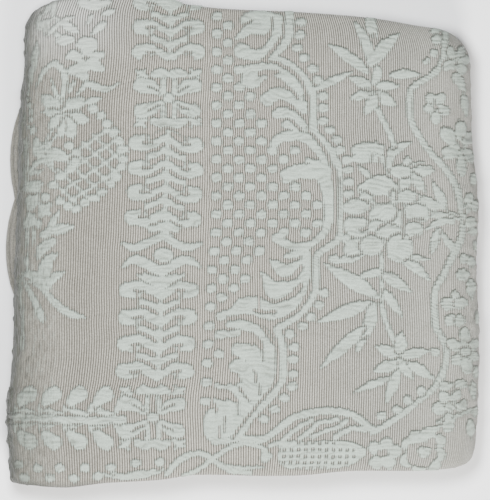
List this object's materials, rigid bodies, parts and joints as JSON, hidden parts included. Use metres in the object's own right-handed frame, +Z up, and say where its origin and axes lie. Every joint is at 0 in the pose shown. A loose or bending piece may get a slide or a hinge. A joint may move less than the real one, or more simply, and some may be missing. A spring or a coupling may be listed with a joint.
{
  "type": "matelasse bedspread",
  "caption": "Folded matelasse bedspread: one quilted cotton sheet with a scalloped hem, folded twice each way into a soft, crowned square bundle.",
  "frame": {"origin": "middle of the folded bundle's base, on the surface that it rests on", "axes": "+X towards the large wrapped fold, +Y towards the far side, +Z up"},
  "size_m": [0.5216, 0.5412, 0.0794],
  "materials": {
    "cloth": "matte quilted cotton, off-white figures on a fine beige rib"
  },
  "bodies": {
    "root": {"bedspread": "cloth"}
  },
  "joints": []
}
